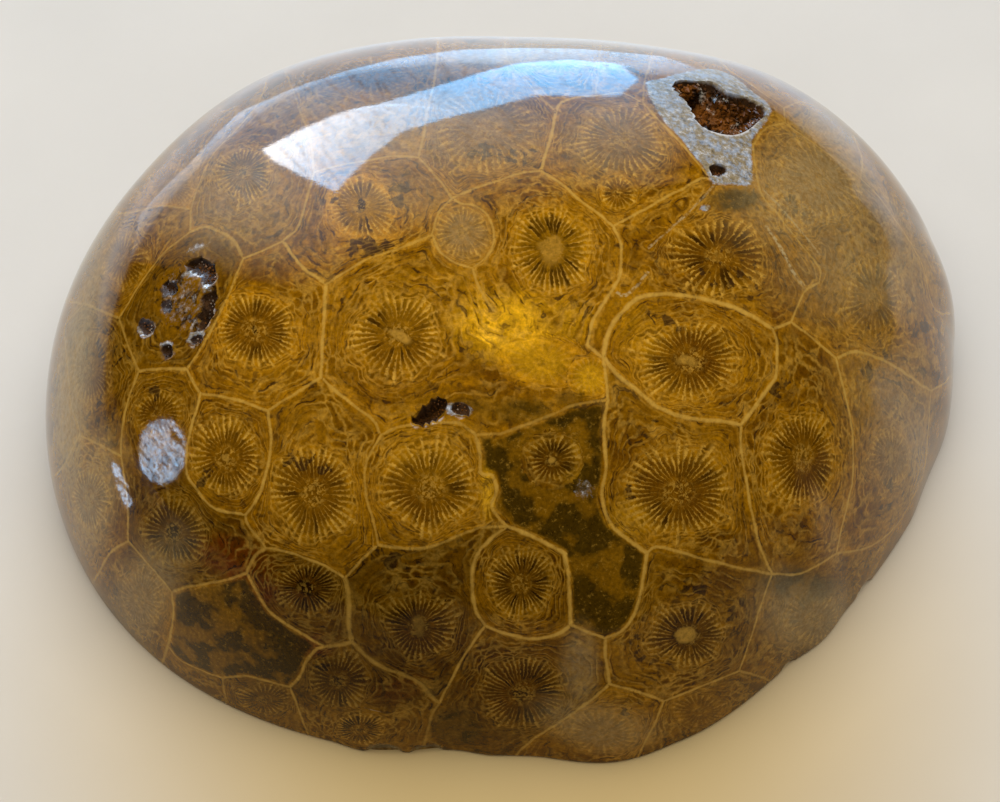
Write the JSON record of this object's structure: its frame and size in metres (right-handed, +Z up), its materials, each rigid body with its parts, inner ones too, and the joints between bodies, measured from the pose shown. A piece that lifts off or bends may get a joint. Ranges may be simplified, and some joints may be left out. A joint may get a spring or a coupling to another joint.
{
  "type": "fossil coral head",
  "caption": "Polished dome of fossil colonial coral in honey-brown calcite, with a sawn flat base and small open crystal vugs.",
  "frame": {"origin": "middle of the sawn flat base", "axes": "+Z up through the crown of the dome, +X towards its right side along the longest extent, +Y towards its far side"},
  "size_m": [0.1105, 0.0926, 0.0456],
  "materials": {
    "polished_calcite": "polished translucent calcite with a pattern of coral cells, glossy"
  },
  "bodies": {
    "root": {"coral_head": "polished_calcite"}
  },
  "joints": []
}
